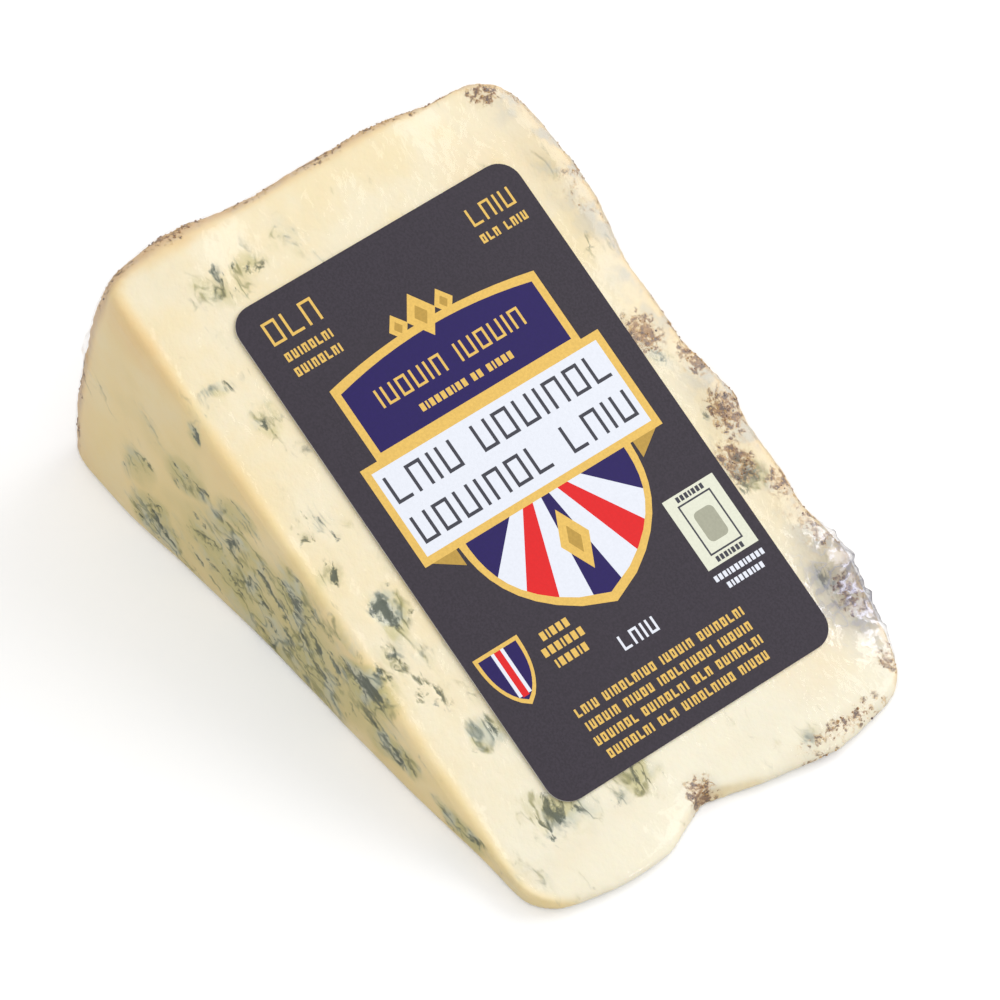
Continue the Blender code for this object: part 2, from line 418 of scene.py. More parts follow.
# %% List the dark places of the crust
CRUST_PATCHES = (
    # down, across, reach down, reach across, strength
    (-47.7, 26.0, 3.5, 4.5, 0.75),
    (-25.2, 31.0, 4.0, 3.0, 0.50),
    (-9.0, 25.0, 5.5, 4.0, 1.00),
    (-3.0, 29.5, 5.0, 4.0, 0.95),
    (5.9, 28.5, 6.5, 4.5, 0.95),
    (12.2, 25.5, 5.5, 4.0, 1.00),
    (17.2, 29.6, 4.0, 4.0, 0.90),
    (25.0, 29.5, 6.0, 3.5, 0.60),
    (35.0, 28.0, 7.0, 4.0, 0.70),
    (45.0, 26.3, 2.8, 2.8, 0.85),
    (48.5, 20.5, 2.5, 4.0, 0.70),
    (49.0, -6.0, 3.2, 4.0, 0.90),
    (51.5, 11.0, 1.8, 9.0, 0.80),
    (-52.0, 12.0, 2.2, 14.0, 0.55),
)
TIP_PATCHES = (
    # from the drum's axis, across, up, reach along, reach across, reach up, strength
    (3.5, -6.0, 2.0, 3.5, 4.0, 3.5, 1.00),
    (0.8, 15.0, 1.6, 2.6, 13.0, 2.4, 0.85),
    (5.0, 29.5, 4.0, 4.0, 3.5, 4.0, 0.85),
)
crust_patches = []
for down, across, reach_down, reach_across, strength in CRUST_PATCHES:
    reach = (reach_down, reach_across, 4.0)
    crust_patches.append((on_slope(down, across), reach, strength))
for from_axis, across, up, reach_along, reach_across, reach_up, strength in TIP_PATCHES:
    reach = (reach_along, reach_across, reach_up)
    crust_patches.append((on_tip(from_axis, across, up), reach, strength))


def dried_amount(place, skin):
    """Return how dark and crumbly the crust is at a place, from 0 to 1."""
    soft = speckle(place, 8.0, 2.0, 0.5)
    amount = skin * rise(soft, 0.38, 0.66, 0.25, 0.90)
    for centre, reach, strength in crust_patches:
        amount = amount.most(near(place, centre, reach) * strength)
    return amount


def crumbly(place, dried):
    """Return where dark crumbs show, from 0 to 1."""
    fine = speckle(warp(place, 2.2, 0.9), 0.8, 4.0, 0.70)
    return rise(fine + dried * 0.25, 0.63, 0.72) * rise(dried, 0.12, 0.40)


print("dark places of the crust:", len(crust_patches))

# %% List the edges with a blush of rind
BLUSHES = (
    # down, across, reach down, reach across, strength
    (-41.0, -34.2, 17.0, 2.4, 0.75),
    (-51.0, -22.0, 2.4, 15.0, 0.75),
    (-51.5, 6.0, 2.4, 18.0, 0.60),
    (-36.0, 19.0, 14.0, 11.0, 0.25),
    (38.0, 18.0, 12.0, 10.0, 0.25),
    (-20.0, -34.0, 12.0, 2.4, 0.35),
    (10.0, -34.0, 20.0, 2.2, 0.30),
)


def blush_amount(place):
    """Return how much of the rind's orange has spread into the paste at its edges."""
    from_middle = along(place, (-1.0, 0.0, 0.0))
    amount = rise(from_middle, 43.0 * MM, 52.0 * MM, 0.0, 0.80)
    for down, across, reach_down, reach_across, strength in BLUSHES:
        spot = near(place, on_slope(down, across), (reach_down, reach_across, 8.0))
        amount = amount.most(spot * strength)
    return amount

# %% [markdown]
# ## The body of cheese
# The plain solid's skin is the film's outside, so the cheese is a copy of it, merged, remeshed
# finely and pushed in a little. Its relief could be sculpted by hand, but it would then not follow
# the colours. Geometry Nodes keep several values on the mesh: crust, rind
# and side, from the way the surface faces, and mould, dried, band and blush, from the lists of
# places. They press the surface in and out by those values: the veins sink, the paste is
# slightly grainy and the crust is crumbly. The material reads the same values, so colour and
# relief agree.

# %% Copy the plain solid as a fine mesh
CHEESE_VOXEL = 0.50 * MM
FILM_VOXEL = 0.60 * MM


def fine_copy(name, voxel, smoothing):
    """Return a new object: the wedge's solid, merged, remeshed evenly and smoothed."""
    mesh = wedge_mesh.copy()
    mesh.name = name
    mesh.materials.clear()
    bm = bmesh.new()
    bm.from_mesh(mesh)
    bmesh.ops.remove_doubles(bm, verts=bm.verts, dist=1e-6)
    bm.to_mesh(mesh)
    bm.free()
    piece = add_object(name, mesh)
    remesh = piece.modifiers.new("even", "REMESH")
    remesh.mode = "VOXEL"
    remesh.voxel_size = voxel
    remesh.use_smooth_shade = True
    smooth = piece.modifiers.new("smooth", "SMOOTH")
    smooth.factor = 0.5
    smooth.iterations = smoothing
    return piece


def settle(piece):
    """Turn an object's modifiers into its own mesh, and remove them."""
    bpy.context.view_layer.update()
    evaluated = piece.evaluated_get(bpy.context.evaluated_depsgraph_get())
    mesh = bpy.data.meshes.new_from_object(evaluated)
    piece.modifiers.clear()
    piece.data = mesh
    mesh.shade_smooth()
    mesh.name = piece.name
    print(piece.name, "has", len(mesh.polygons), "faces")


# %% Start a Geometry Nodes tree
def new_geometry_tree(name, sizes):
    """Return a tree's writer, its incoming geometry and its named inputs as flows."""
    tree = bpy.data.node_groups.new(name, "GeometryNodeTree")
    tree.interface.new_socket("Geometry", in_out="INPUT", socket_type="NodeSocketGeometry")
    tree.interface.new_socket("Geometry", in_out="OUTPUT", socket_type="NodeSocketGeometry")
    nodes = Nodes(tree)
    flows = {}
    for size in sizes:
        tree.interface.new_socket(size, in_out="INPUT", socket_type="NodeSocketFloat")
    source = tree.nodes.new("NodeGroupInput")
    for size in sizes:
        flows[size] = Flow(nodes, source.outputs[size])
    return nodes, Flow(nodes, source.outputs["Geometry"]), flows


def end_geometry_tree(geometry, material):
    """Finish a tree: realize what is instanced, set the material and give the result."""
    nodes = geometry.nodes
    realized = nodes.add("GeometryNodeRealizeInstances", None, {"Geometry": geometry})
    inputs = {"Geometry": realized, "Material": material}
    painted = nodes.add("GeometryNodeSetMaterial", None, inputs)
    end = nodes.tree.nodes.new("NodeGroupOutput")
    nodes.tree.links.new(painted.socket, end.inputs["Geometry"])
    return nodes.tree


def use_tree(piece, tree, sizes):
    """Put a tree on a piece as a modifier, with its inputs set by identifier."""
    modifier = piece.modifiers.new(tree.name, "NODES")
    modifier.node_group = tree
    for item in tree.interface.items_tree:
        if item.in_out == "INPUT" and item.name in sizes:
            modifier[item.identifier] = sizes[item.name]


print("tree helpers ready")


# %% Fields used in the geometry trees
def position(nodes):
    """Return the place of each point."""
    return nodes.add("GeometryNodeInputPosition")


def store(geometry, name, value, blur=0):
    """Keep a value on each point under a name, blurred a few times first."""
    nodes = geometry.nodes
    if blur:
        inputs = {"Value": value, "Iterations": blur}
        value = nodes.add("GeometryNodeBlurAttribute", {"data_type": "FLOAT"}, inputs, "Value")
    settings = {"data_type": "FLOAT", "domain": "POINT"}
    inputs = {"Geometry": geometry, "Name": name, "Value": value}
    return nodes.add("GeometryNodeStoreNamedAttribute", settings, inputs)


def recall(nodes, name):
    """Return a stored value."""
    settings = {"data_type": "FLOAT"}
    return nodes.add("GeometryNodeInputNamedAttribute", settings, {"Name": name}, "Attribute")


def facing(nodes, direction, low, high):
    """Return 1 where the surface faces a direction, falling to 0 as it turns away."""
    return rise(along(nodes.add("GeometryNodeInputNormal"), direction), low, high)


def push(geometry, amount):
    """Move each point out along its normal by an amount."""
    normal = geometry.nodes.add("GeometryNodeInputNormal")
    inputs = {"Geometry": geometry, "Offset": scaled(normal, amount)}
    return geometry.nodes.add("GeometryNodeSetPosition", None, inputs)


SEAT_DOWN = LABEL_DOWN / 2 + 0.05
SEAT_ACROSS = LABEL_ACROSS / 2 + 0.05
SEAT_DEPTH = 3.0


def seat_mask(place):
    """Return 0 under the label and 1 away from it."""
    offset = vector_sum("SUBTRACT", place, seat_middle)
    past = abs(along(offset, DOWN)) - SEAT_DOWN * MM
    past = past.most(abs(along(offset, ACROSS)) - SEAT_ACROSS * MM)
    past = past.most(abs(along(offset, OUT)) - SEAT_DEPTH * MM)
    return rise(past, 0.2 * MM, 3.5 * MM)


def base_mask(place):
    """Return 0 on the base and 1 above it."""
    return rise(along(place, (0.0, 0.0, 1.0)), 0.3 * MM, 2.5 * MM)


print("fields ready")


# %% Press the cheese's surface
def sharpen_left_ridge(geometry, amount):
    """Push out the rounding between the sloping face and the left side, to make it crisper."""
    normal = geometry.nodes.add("GeometryNodeInputNormal")
    upward = along(normal, OUT).most(0.0)
    sideways = along(normal, (0.0, -1.0, 0.0)).most(0.0)
    halfway = upward * sideways * 2.0
    return push(geometry, halfway * halfway * amount)


def ridge_band(place):
    """Return 1 along the ridge where the sloping face meets the crust."""
    offset = vector_sum("SUBTRACT", place, seat_middle)
    return rise(along(offset, ACROSS), 22.5 * MM, 31.0 * MM)


def keep_inside(geometry, margin):
    """Hold every point inside the plain solid's box, a margin in mm away from its sides."""
    gap = Vector((margin * MM,) * 3)
    place = vector_sum("MAXIMUM", position(geometry.nodes), wedge_low + gap)
    inputs = {"Geometry": geometry, "Position": vector_sum("MINIMUM", place, wedge_high - gap)}
    return geometry.nodes.add("GeometryNodeSetPosition", None, inputs)


CHEESE_MARGIN = 0.08
CRUMB_MARGIN = 0.04


def cheese_tree(material):
    """Return the tree that insets the cheese and gives it its values and its relief."""
    sizes = ("Inset", "Edge", "Vein Depth", "Grain", "Crumble")
    nodes, geometry, size = new_geometry_tree("cheese_relief", sizes)
    geometry = store(geometry, "crust", facing(nodes, (0.0, 1.0, 0.0), 0.25, 0.85), 10)
    geometry = store(geometry, "rind", facing(nodes, (-0.98, 0.0, 0.2), -0.05, 0.60), 8)
    geometry = store(geometry, "side", facing(nodes, (0.0, -1.0, 0.0), 0.12, 0.45), 3)
    geometry = sharpen_left_ridge(geometry, size["Edge"])
    geometry = push(geometry, -size["Inset"])
    place = position(nodes)
    skin = recall(nodes, "crust").most(recall(nodes, "rind"))
    band = ridge_band(place)
    geometry = store(geometry, "mould", mould_density(place))
    geometry = store(geometry, "dried", dried_amount(place, skin.most(band * 0.45)))
    geometry = store(geometry, "band", band)
    geometry = store(geometry, "blush", blush_amount(place))
    dried = recall(nodes, "dried")
    haze, vein, heart = veins(place, recall(nodes, "mould"))
    dark = crumbly(place, dried)
    grain = speckle(place, 2.2, 3.0, 0.6) - 0.5
    lump = speckle(place, 2.6, 4.0, 0.65) - 0.55
    relief = grain * size["Grain"] - (vein + heart) * size["Vein Depth"] * (1 - skin)
    relief = relief + lump * size["Crumble"] * skin.most(dried * 0.6)
    relief = relief - dark * size["Vein Depth"] * 0.6
    relief = relief * seat_mask(place) * base_mask(place)
    geometry = keep_inside(push(geometry, relief), CHEESE_MARGIN)
    return end_geometry_tree(geometry, material)


print("cheese relief ready")

# %% [markdown]
# ## The cheese's material
# The paste is cream, warmer towards the rind and the crust, and a little translucent. On the cut
# side it is painted a darker, yellower cream as painted shade. The veins go from pale blue-grey and
# olive haze to dark green at their hearts. The crust is duller and greyer, with brown, ochre and
# purplish crumbs. A painted picture could colour all this, but patterns stay sharp from near by
# and follow the relief.

# %% Name the colours of the cheese
PASTE_PALE = (0.93, 0.83, 0.60)
PASTE_CREAM = (0.93, 0.79, 0.50)
PASTE_WHITE = (0.94, 0.89, 0.72)
# Painted shade: the darker, yellower cream of the cut side, which faces away from the lamp.
PASTE_SHADED_SIDE = (0.93, 0.73, 0.36)
PASTE_OLIVE = (0.58, 0.51, 0.21)
PASTE_WARM = (0.90, 0.62, 0.27)
HAZE_OLIVE = (0.56, 0.51, 0.22)
HAZE_GREY = (0.56, 0.58, 0.46)
MOULD_OLIVE = (0.27, 0.25, 0.08)
MOULD_BLUE = (0.18, 0.22, 0.18)
MOULD_DARK = (0.070, 0.085, 0.055)
CRUST_PALE = (0.61, 0.49, 0.33)
CRUST_GREY = (0.46, 0.45, 0.42)
CRUST_OCHRE = (0.62, 0.40, 0.16)
CRUST_BROWN = (0.34, 0.17, 0.065)
CRUST_PURPLE = (0.10, 0.065, 0.065)
RIND_ORANGE = (0.70, 0.40, 0.17)


# %% Start a material
def new_material(name):
    """Return a material and the writer of its tree."""
    material = bpy.data.materials.new(name)
    material.use_nodes = True
    return material, Nodes(material.node_tree)


def end_shader(surface, output="ShaderNodeOutputMaterial"):
    """Give a material's or a world's tree its output."""
    tree = surface.nodes.tree
    tree.links.new(surface.socket, tree.nodes.new(output).inputs["Surface"])


def object_place(nodes):
    """Return the place on the piece, in metres."""
    return nodes.add("ShaderNodeTexCoord", None, None, "Object")


def stored(nodes, name):
    """Return a value kept on the mesh."""
    return nodes.add("ShaderNodeAttribute", {"attribute_name": name}, None, "Fac")


def bumped(height, strength, distance):
    """Return a normal bent by a pattern, as if that were a relief of a distance in mm."""
    inputs = {"Strength": strength, "Distance": distance * MM, "Height": height}
    return height.nodes.add("ShaderNodeBump", None, inputs)


# %% Colour the paste and its veins
def paste_colour(nodes, place, skin):
    """Return the colour of the paste with its veins."""
    side = stored(nodes, "side")
    cloud = speckle(place, 9.0, 3.0, 0.5)
    stain = speckle(place, 4.0, 3.0, 0.5)
    colour = blend(rise(cloud, 0.35, 0.65), PASTE_PALE, PASTE_CREAM)
    thin = rise(along(place, (1.0, 0.0, 0.0)), 15.0 * MM, 46.0 * MM)
    colour = blend(thin * 0.75, colour, PASTE_WHITE)
    # Painted shade: the cut side, which faces away from the lamp, is coloured a darker, yellower
    # cream.
    colour = blend(side * rise(cloud, 0.30, 0.60, 0.75, 1.0), colour, PASTE_SHADED_SIDE)
    warm = rise(skin + cloud * 0.3 - 0.15, 0.02, 0.50) * 0.5
    blush = stored(nodes, "blush") * rise(stain, 0.30, 0.60, 0.65, 1.0)
    colour = blend(warm.most(blush), colour, PASTE_WARM)
    mould = stored(nodes, "mould")
    wash = rise(mould + (cloud - 0.5) * 0.6, 0.10, 0.60) * side
    colour = blend(wash * 0.68, colour, PASTE_OLIVE)
    haze, vein, heart = veins(place, mould)
    bent = warp(place, 2.5, 1.1)
    for centre, radius in rings:
        vein = vein.most(ring(bent, centre, radius) * side * 0.7)
    kind = rise(stain, 0.44, 0.60)
    colour = blend(haze * 0.80, colour, blend(kind, HAZE_OLIVE, HAZE_GREY))
    colour = blend(vein * 0.88, colour, blend(kind, MOULD_OLIVE, MOULD_BLUE))
    return blend(heart * 0.85, colour, MOULD_DARK)


# %% Colour the crust
def crust_colour(nodes, place, skin, colour):
    """Return the colour with the crust laid over it."""
    rind = stored(nodes, "rind")
    dried = stored(nodes, "dried")
    patch = speckle(place, 4.0, 3.0, 0.6)
    tone = speckle(place, 0.8, 3.0, 0.6)
    crusty = blend(rise(patch, 0.44, 0.60), CRUST_PALE, CRUST_GREY)
    crusty = blend(rind * 0.65, crusty, RIND_ORANGE)
    bluish = rise(stored(nodes, "mould"), 0.45, 0.85) * rise(tone, 0.35, 0.60)
    crusty = blend(bluish * 0.75, crusty, MOULD_BLUE)
    band = stored(nodes, "band") * rise(patch, 0.35, 0.60, 0.40, 0.90)
    share = rise(skin, 0.20, 0.90).most(band).most(dried * 0.6)
    colour = blend(share * 0.85, colour, crusty)
    rusty = rise(tone + dried * 0.22, 0.58, 0.72) * rise(dried, 0.10, 0.35)
    colour = blend(rusty * 0.65, colour, CRUST_OCHRE)
    stops = ((0.36, CRUST_OCHRE), (0.48, CRUST_BROWN), (0.62, CRUST_PURPLE))
    crumbs = nodes.add("ShaderNodeValToRGB", {"stops": stops}, {"Fac": tone}, "Color")
    crumbs = blend(bluish * 0.7, crumbs, MOULD_DARK)
    return blend(crumbly(place, dried) * 0.88, colour, crumbs)


def make_cheese_material():
    """Return the material of paste, veins and crust."""
    material, nodes = new_material("blue_cheese")
    place = object_place(nodes)
    skin = stored(nodes, "crust").most(stored(nodes, "rind"))
    colour = crust_colour(nodes, place, skin, paste_colour(nodes, place, skin))
    inputs = {
        "Base Color": colour,
        "Roughness": rise(skin, 0.2, 0.8, 0.45, 0.75),
        "Normal": bumped(speckle(place, 0.7, 3.0, 0.6), 0.25, 0.2),
        "Subsurface Weight": 0.10,
        "Subsurface Radius": (1.0, 0.7, 0.35),
        "Subsurface Scale": 1.0 * MM,
        "IOR": 1.45,
    }
    end_shader(nodes.add("ShaderNodeBsdfPrincipled", None, inputs))
    return material


cheese_material = make_cheese_material()
cheese_sizes = {
    "Inset": 0.26 * MM,
    "Edge": 0.70 * MM,
    "Vein Depth": 0.14 * MM,
    "Grain": 0.16 * MM,
    "Crumble": 1.0 * MM,
}

# %% Make the cheese
cheese = fine_copy("cheese", CHEESE_VOXEL, 10)
use_tree(cheese, cheese_tree(cheese_material), cheese_sizes)
settle(cheese)

# %% [markdown]
# ## Crumbs on the crust
# Loose crumbs of rind and mould stick to the crust under the film. They could be a bump in the
# material only, but real lumps catch the light and roughen the outline. Geometry Nodes scatter
# small lumps where the crust is dark, each turned and sized at random from a fixed seed.


# %% Colour the crumbs
def make_crumb_material():
    """Return the crumbs' material, which goes from tan to dark brown."""
    material, nodes = new_material("crust_crumbs")
    tone = speckle(object_place(nodes), 1.2, 2.0, 0.5)
    stops = ((0.34, CRUST_PALE), (0.44, CRUST_OCHRE), (0.54, CRUST_BROWN), (0.66, CRUST_PURPLE))
    colour = nodes.add("ShaderNodeValToRGB", {"stops": stops}, {"Fac": tone}, "Color")
    inputs = {"Base Color": colour, "Roughness": 0.8}
    end_shader(nodes.add("ShaderNodeBsdfPrincipled", None, inputs))
    return material


# %% Scatter the crumbs
def random_vector(nodes, low, high, seed):
    """Return a random vector for each point."""
    inputs = {"Min": (low,) * 3, "Max": (high,) * 3, "Seed": seed}
    return nodes.add("FunctionNodeRandomValue", {"data_type": "FLOAT_VECTOR"}, inputs, "Value")


def crumb_tree(material):
    """Return the tree that scatters crumbs on the cheese's crust."""
    nodes, geometry, size = new_geometry_tree("crumbs", ("Density", "Crumb Size"))
    place = position(nodes)
    dark = crumbly(place, recall(nodes, "dried"))
    share = dark * seat_mask(place) * base_mask(place)
    inputs = {"Mesh": geometry, "Density": share * size["Density"], "Seed": 4}
    points = nodes.add("GeometryNodeDistributePointsOnFaces", None, inputs, "Points")
    lump = nodes.add("GeometryNodeMeshIcoSphere", None, {"Radius": 1.0, "Subdivisions": 1}, "Mesh")
    turn = random_vector(nodes, 0.0, 6.3, 5)
    scale = scaled(random_vector(nodes, 0.4, 1.5, 6), size["Crumb Size"])
    inputs = {"Points": points, "Instance": lump, "Rotation": turn, "Scale": scale}
    crumbs = nodes.add("GeometryNodeInstanceOnPoints", None, inputs)
    crumbs = nodes.add("GeometryNodeRealizeInstances", None, {"Geometry": crumbs})
    return end_geometry_tree(keep_inside(crumbs, CRUMB_MARGIN), material)


crumbs = add_object("crust_crumbs", cheese.data.copy())
crumb_sizes = {"Density": 2.4e6, "Crumb Size": 0.16 * MM}
use_tree(crumbs, crumb_tree(make_crumb_material()), crumb_sizes)
settle(crumbs)

# %% [markdown]
# ## Clear film
# The film is a closed skin just outside the cheese. It lies flat on the cut faces and gathers in
# sharp creases at the crust near the thin end. A cloth simulation could shrink it on, but a list
# of folds puts each crease where it is wanted. Its material mixes see-through with a mirror gloss
# that grows towards grazing angles, because glass would bend the look of the cheese under it.
# Where it gathers, several layers lie on each other, so it is milkier and greyer there.

# %% List the creases of the film
FOLDS = (
    # centre, direction across the crease, half width, reach, height, all sizes in mm
    (on_slope(31.0, 30.0), DOWN + 0.5 * ACROSS, 0.9, 9.0, 0.60),
    (on_slope(35.0, 29.0), DOWN - 0.3 * ACROSS, 0.8, 8.0, 0.55),
    (on_slope(27.0, 30.5), DOWN + 0.9 * ACROSS, 0.8, 7.0, 0.50),
    (on_slope(39.0, 28.0), DOWN - 0.7 * ACROSS, 0.9, 7.0, 0.45),
    (on_left(97.0, 24.0), Vector((0.3, 0.0, 1.0)), 0.9, 9.0, 0.60),
    (on_left(84.0, 9.0), Vector((0.8, 0.0, 0.6)), 0.7, 6.0, 0.25),
    (on_left(60.0, 4.0), Vector((0.5, 0.0, 0.9)), 0.7, 7.0, 0.25),
    (on_slope(45.0, -10.0), DOWN + 0.2 * ACROSS, 0.8, 8.0, 0.35),
)


# %% Crease the film
def crease(place, centre, direction, width, reach, height):
    """Return the height of one crease of film, in metres."""
    offset = vector_sum("SUBTRACT", place, centre)
    away = abs(along(offset, direction.normalized()))
    across = rise(away, 0.0, width * MM, 1.0, 0.0)
    return across * near(place, centre, (reach,) * 3) * (height * MM)


def film_tree(material):
    """Return the tree that wrinkles the film and keeps where it gathers."""
    sizes = ("Inset", "Edge", "Ripple", "Crinkle")
    nodes, geometry, size = new_geometry_tree("film_wrinkles", sizes)
    geometry = sharpen_left_ridge(geometry, size["Edge"])
    geometry = push(geometry, -size["Inset"])
    place = position(nodes)
    bent = warp(place, 6.0, 2.0)
    gather = near(bent, on_slope(34.0, 28.5), (14.0, 10.5, 9.0))
    geometry = store(geometry, "gather", gather)
    ripple = abs(speckle(bent, 5.0, 2.0, 0.5) - 0.5) * size["Ripple"]
    crinkle = abs(speckle(bent, 2.4, 3.0, 0.6) - 0.5) * size["Crinkle"]
    height = ripple + crinkle * recall(nodes, "gather")
    for fold in FOLDS:
        height = height + crease(bent, *fold)
    height = height * seat_mask(place) * base_mask(place)
    return end_geometry_tree(keep_inside(push(geometry, height), 0.0), material)


FILM_WHITE = (1.0, 1.0, 1.0)
FILM_GREY = (0.33, 0.33, 0.41)


def make_film_material():
    """Return the clear film's material."""
    material, nodes = new_material("clear_film")
    gather = stored(nodes, "gather")
    bent = warp(object_place(nodes), 5.0, 1.5)
    fine = speckle(bent, 1.6, 2.0, 0.5)
    bump = bumped(fine, 0.35, 0.25)
    folded = rise(abs(speckle(bent, 2.4, 2.0, 0.5) - 0.5), 0.0, 0.07, 1.0, 0.0)
    milky = gather * (0.22 + folded * 0.42)
    tint = blend(gather, FILM_WHITE, FILM_GREY)
    inputs = {"Color": tint, "Roughness": 0.07 + gather * 0.12, "Normal": bump}
    gloss = nodes.add("ShaderNodeBsdfGlossy", None, inputs)
    clear = nodes.add("ShaderNodeBsdfTransparent")
    turned = nodes.add("ShaderNodeLayerWeight", None, {"Blend": 0.5, "Normal": bump}, "Facing")
    steep = turned * turned * turned * turned
    share = 0.03 + steep * 0.28 + milky
    end_shader(nodes.add("ShaderNodeMixShader", None, {0: share, 1: clear, 2: gloss}))
    return material


film = fine_copy("clear_film", FILM_VOXEL, 10)
film_sizes = {"Inset": 0.07 * MM, "Edge": 0.70 * MM, "Ripple": 0.40 * MM, "Crinkle": 2.4 * MM}
use_tree(film, film_tree(make_film_material()), film_sizes)
settle(film)

# %% [markdown]
# ## The printed label
# A label's print is flat fields of ink, so the label is one mesh whose faces are cut along the
# edges of those fields. Each field is an outline in mm, across and down from the label's middle,
# and a later field covers an earlier one. A constrained triangulation cuts them all at once.
# A picture on a plain sheet would be simpler, but its edges would blur from near by. Where a real
# label carries words and pictures, this one has plain marks, rays and lozenges.

# %% Measure the label
LABEL_CORNER = 3.3
LABEL_THICKNESS = 0.22 * MM
LABEL_SUNK = 0.06 * MM
CORNER_STEPS = 8


# %% Draw outlines
def arc(centre_across, centre_down, radius, start, end, steps):
    """Return points on an arc, with angles in degrees from across towards down."""
    points = []
    for step in range(steps + 1):
        angle = math.radians(start + (end - start) * step / steps)
        across = centre_across + radius * math.cos(angle)
        points.append((across, centre_down + radius * math.sin(angle)))
    return points


def rectangle(left, top, right, bottom, corner=0.0):
    """Return a rectangle's outline, with round corners if a radius is given."""
    if corner == 0.0:
        return [(left, top), (right, top), (right, bottom), (left, bottom)]
    points = arc(right - corner, bottom - corner, corner, 0, 90, CORNER_STEPS)
    points += arc(left + corner, bottom - corner, corner, 90, 180, CORNER_STEPS)
    points += arc(left + corner, top + corner, corner, 180, 270, CORNER_STEPS)
    points += arc(right - corner, top + corner, corner, 270, 360, CORNER_STEPS)
    return points


def lozenge(across, down, half_width, half_height):
    """Return a lozenge's outline."""
    right = (across + half_width, down)
    left = (across - half_width, down)
    return [right, (across, down + half_height), left, (across, down - half_height)]


def arched_panel(half_width, top, bottom, rise_height, inset):
    """Return a panel whose top edge is a shallow arch."""
    width = half_width - inset
    points = [(width, bottom - inset), (-width, bottom - inset)]
    steps = 12
    for step in range(steps + 1):
        share = 2.0 * step / steps - 1.0
        points.append((share * width, top + inset - rise_height * (1.0 - share * share)))
    return points


def shield(middle, half_width, top, bottom, inset):
    """Return a shield's outline: straight at the top, curving in to a point."""
    width = half_width - inset
    low = bottom - 1.3 * inset
    points = []
    steps = 10
    for step in range(steps + 1):
        share = step / steps
        across = width * (1.0 - share ** 2.6) ** 0.8
        points.append((middle + across, top + inset + (low - top - inset) * share))
    return points + [(2.0 * middle - across, down) for across, down in reversed(points[:-1])]


print("a shield has", len(shield(0.0, 14.0, 2.6, 19.2, 0.0)), "points")


# %% Rows of marks in place of words
MARKS = ("cup", "bar", "arch", "box", "corner", "arch", "bar", "cup", "box")


def mark(kind, left, top, right, bottom, line):
    """Return the strokes of one plain mark: a bar, a box, or a box with a side or two left out."""
    strokes = [rectangle(left, top, left + line, bottom)]
    if kind in ("box", "arch", "cup"):
        strokes.append(rectangle(right - line, top, right, bottom))
    if kind in ("box", "arch"):
        strokes.append(rectangle(left, top, right, top + line))
    if kind in ("box", "cup", "corner"):
        strokes.append(rectangle(left, bottom - line, right, bottom))
    return strokes


def marks(centre, down, height, words, ink, line):
    """Return a centred row of marks, grouped as words. Small ones are plain blocks."""
    wide = 0.62 * height
    gap = 0.24 * height
    kinds = []
    for word in words:
        kinds += [MARKS[(number + word) % len(MARKS)] for number in range(word)] + [None]
    kinds.pop()
    widths = {"bar": line, None: 0.35 * height}
    total = sum(widths.get(kind, wide) + gap for kind in kinds) - gap
    left = centre - 0.5 * total
    top = down - 0.5 * height
    bottom = down + 0.5 * height
    row = []
    for kind in kinds:
        width = widths.get(kind, wide)
        if kind and height > 4.0 * line:
            row += [(ink, stroke) for stroke in mark(kind, left, top, left + width, bottom, line)]
        elif kind:
            row.append((ink, rectangle(left, top, left + width, bottom)))
        left += width + gap
    return row


# %% Fans of rays
def wind(outline):
    """Return an outline turning from across towards down, as the triangulation expects."""
    pairs = zip(outline, outline[1:] + outline[:1])
    area = sum(first[0] * second[1] - second[0] * first[1] for first, second in pairs)
    return outline if area > 0.0 else outline[::-1]


def clip_to(outline, window):
    """Return the part of an outline that lies inside a window that bulges outwards."""
    kept = list(outline)
    edge = wind(window)
    for (x0, y0), (x1, y1) in zip(edge, edge[1:] + edge[:1]):
        result = []
        for point, following in zip(kept, kept[1:] + kept[:1]):
            inside = (x1 - x0) * (point[1] - y0) - (y1 - y0) * (point[0] - x0)
            next_inside = (x1 - x0) * (following[1] - y0) - (y1 - y0) * (following[0] - x0)
            if inside >= 0.0:
                result.append(point)
            if (inside >= 0.0) != (next_inside >= 0.0):
                share = inside / (inside - next_inside)
                across = point[0] + share * (following[0] - point[0])
                result.append((across, point[1] + share * (following[1] - point[1])))
        kept = result
    return kept


def shield_rays(middle, top, half_width, bottom):
    """Return rays of navy, white and red that fan out inside the shield's gold edge."""
    inner = shield(middle, half_width, top, bottom, 1.1)
    inks = ("navy", "white", "red", "white", "navy", "white", "red", "white", "navy")
    fan = [("navy", inner)]
    source = top - 4.0
    reach = 40.0
    spread = 118.0
    for number, ink in enumerate(inks):
        start = 90.0 + spread / 2 - spread * number / len(inks)
        ray = [(middle, source)] + arc(middle, source, reach, start, start - spread / len(inks), 1)
        fan.append((ink, clip_to(ray, inner)))
    return [(ink, outline) for ink, outline in fan if len(outline) > 2]


